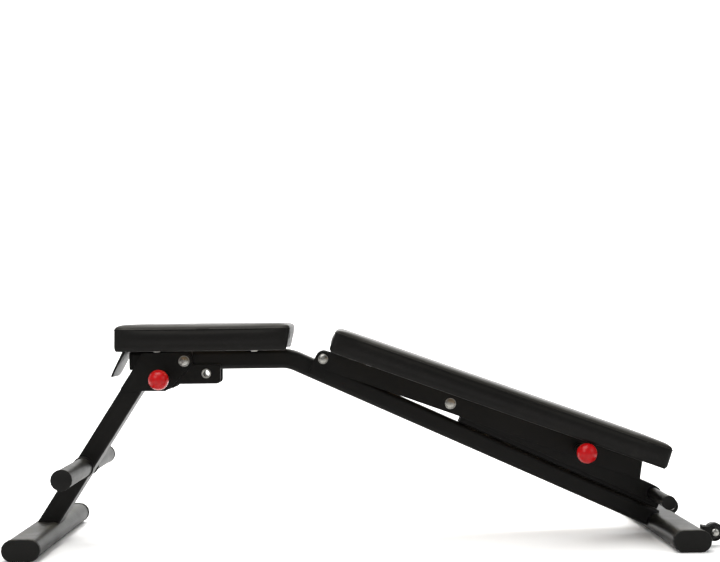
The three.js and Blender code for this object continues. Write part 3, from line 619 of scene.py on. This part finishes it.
# cloth under pressure swells the cushion; points near its underside are held
def inflate(piece, shape):
    held = piece.vertex_groups.new(name="held")
    low = [vert.index for vert in piece.data.vertices if vert.co.z < shape["pinned"]]
    held.add(low, 1.0, "REPLACE")
    started = [vert.co.copy() for vert in piece.data.vertices]
    cloth = piece.modifiers.new("skin", "CLOTH")
    cloth.settings.use_pressure = True
    cloth.settings.uniform_pressure_force = shape["pressure"]
    cloth.settings.tension_stiffness = shape["tension"]
    cloth.settings.compression_stiffness = shape["tension"]
    cloth.settings.bending_stiffness = shape["bending"]
    cloth.settings.vertex_group_mass = "held"
    cloth.settings.effector_weights.gravity = 0
    cloth.point_cache.frame_start = 1
    cloth.point_cache.frame_end = shape["frames"]
    for step in range(1, shape["frames"] + 1):
        bpy.context.scene.frame_set(step)
    applyModifiers(piece)
    bpy.context.scene.frame_set(1)
    for vert, start in zip(piece.data.vertices, started):
        moved = vert.co - start
        if moved.length > shape["cap"]:
            vert.co = start + moved.normalized() * shape["cap"]


def crownTop(piece, length, width, depth, shape):
    for vert in piece.data.vertices:
        across = max(0.0, 1 - (2 * vert.co.y / width) ** 2)
        along = max(0.0, 1 - (2 * vert.co.x / length) ** shape["crownPower"])
        vert.co.z += shape["crown"] * across * along * min(1.0, vert.co.z / depth)


def relaxTop(piece, shape):
    build = bmesh.new()
    build.from_mesh(piece.data)
    for _ in range(shape["relaxPasses"]):
        bmesh.ops.smooth_vert(build, verts=[vert for vert in build.verts if vert.co.z > shape["pinned"]],
                              factor=shape["relaxFactor"], use_axis_x=True, use_axis_y=True, use_axis_z=True)
    for face in build.faces:
        face.smooth = True
    build.to_mesh(piece.data)
    build.free()


seamShape = {"drop": 0.0085, "height": 0.0030, "thickness": 0.0011, "merge": 0.0003}


# a sewn welt round a cushion, below its top edge: a thin band of the cushion's own skin, thickened outwards
def addWelt(node, cushion, depth, place):
    build = bmesh.new()
    build.from_mesh(cushion.data)
    middle = depth - seamShape["drop"]
    for side in (-1, 1):
        bmesh.ops.bisect_plane(build, geom=build.verts[:] + build.edges[:] + build.faces[:], dist=1e-6,
                               plane_co=(0, 0, middle + side * seamShape["height"] / 2),
                               plane_no=(0, 0, side), clear_outer=True)
    bmesh.ops.solidify(build, geom=build.faces[:], thickness=-seamShape["thickness"])
    bmesh.ops.remove_doubles(build, verts=build.verts[:], dist=seamShape["merge"])
    bmesh.ops.recalc_face_normals(build, faces=build.faces[:])
    piece = meshObject(node + "Welt", build)
    smooth = piece.modifiers.new("roundWelt", "SUBSURF")
    smooth.levels = smooth.render_levels = 1
    applyModifiers(piece)
    for face in piece.data.polygons:
        face.use_smooth = True
    piece.data.transform(place)
    settle(piece, node, standsFor=False)


# the cover turns down below the board's edge along both long sides
def dropLip(piece, width, depth, lip, shape):
    for vert in piece.data.vertices:
        inward = width / 2 - abs(vert.co.y)
        share = min(1.0, max(0.0, (shape["lipStart"] - inward) / (shape["lipStart"] - shape["lipEnd"])))
        vert.co.z -= lip * share * max(0.0, 1 - vert.co.z / (depth * shape["lipFade"]))


def carvePocket(piece, length, width, depth, margin):
    build = bmesh.new()
    bmesh.ops.create_cube(build, size=1.0)
    bmesh.ops.scale(build, vec=(length + 2 * margin, width + 2 * margin, 2 * (depth + margin)),
                    verts=build.verts[:])
    tool = meshObject("pocketTool", build)
    carve = piece.modifiers.new("pocket", "BOOLEAN")
    carve.object = tool
    carve.operation = "DIFFERENCE"
    carve.solver = "EXACT"
    applyModifiers(piece)
    bpy.data.objects.remove(tool)


# place is the matrix from the pad's own frame (z = 0 on its underside) to the row frame
def addCushion(node, length, width, depth, boardSize, slant, lip, place):
    shape = cushionShape
    inset = 2 * shape["sideInset"]
    block = cushionBlock(length - inset, width - inset, depth - shape["topInset"], shape)
    piece = meshObject(node + "Cushion", block)
    evenSkin(piece, shape["voxel"])
    inflate(piece, shape)
    crownTop(piece, length, width, depth, shape)
    relaxTop(piece, shape)
    for vert in piece.data.vertices:
        reach = max(0.0, vert.co.x / (length / 2)) ** shape["slantPower"]
        vert.co.x += slant * reach * (vert.co.z / depth - 1)
        vert.co.z = max(vert.co.z, 0.0)
    smooth = piece.modifiers.new("roundSkin", "SUBSURF")
    smooth.levels = smooth.render_levels = 1
    applyModifiers(piece)
    dropLip(piece, width, depth, lip, shape)
    addWelt(node, piece, depth, place)
    carvePocket(piece, *boardSize, shape["pocketMargin"])
    for face in piece.data.polygons:
        face.use_smooth = True
    piece.data.transform(place)
    piece.data.set_sharp_from_angle(angle=shape["sharp"])
    settle(piece, node)


boardDepth = 0.012
seatSettings = {"slant": 0.010, "lip": 0.0038}
seatLow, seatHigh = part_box("seat_pad")
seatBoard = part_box("seat_board")
seatSize = seatHigh - seatLow
seatMiddle = (seatLow + seatHigh) / 2
boardMiddle = (seatBoard[0] + seatBoard[1]) / 2
boardSize = seatBoard[1] - seatBoard[0]
seatPlace = Matrix.Translation((seatMiddle.x, 0, seatLow.z))
addCushion("seat_pad", seatSize.x, seatSize.y, seatSize.z,
           (boardSize.x + 2 * abs(boardMiddle.x - seatMiddle.x), boardSize.y, boardDepth),
           seatSettings["slant"], seatSettings["lip"], seatPlace)

backHinge = next(joint for joint in behaviour["joints"] if joint["name"] == "backrest_tilt")
backSettings = {"start": 0.004, "end": 0.690, "bottom": 0.0223, "depth": 0.0447, "boardInset": 0.022,
                "boardSide": 0.020, "tilt": math.radians(20), "slant": 0.0, "lip": 0.0022}
backLength = backSettings["end"] - backSettings["start"]
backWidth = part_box("back_pad")[1].y * 2
backMiddle = (backSettings["start"] + backSettings["end"]) / 2
backPlace = (Matrix.Translation(backHinge["pos_m"]) @ Matrix.Rotation(backSettings["tilt"], 4, "Y")
             @ Matrix.Translation((backMiddle, 0, backSettings["bottom"])))
addCushion("back_pad", backLength, backWidth, backSettings["depth"],
           (backLength - 2 * backSettings["boardInset"], backWidth - 2 * backSettings["boardSide"],
            boardDepth),
           backSettings["slant"], backSettings["lip"], backPlace)
print("cushions made")

addCamera(cameraSettings)
addFloor(floorSettings, makeStudioPaper())
addLights(lightSettings)
bpy.context.scene.view_settings.view_transform = "Standard"
print("stage set")
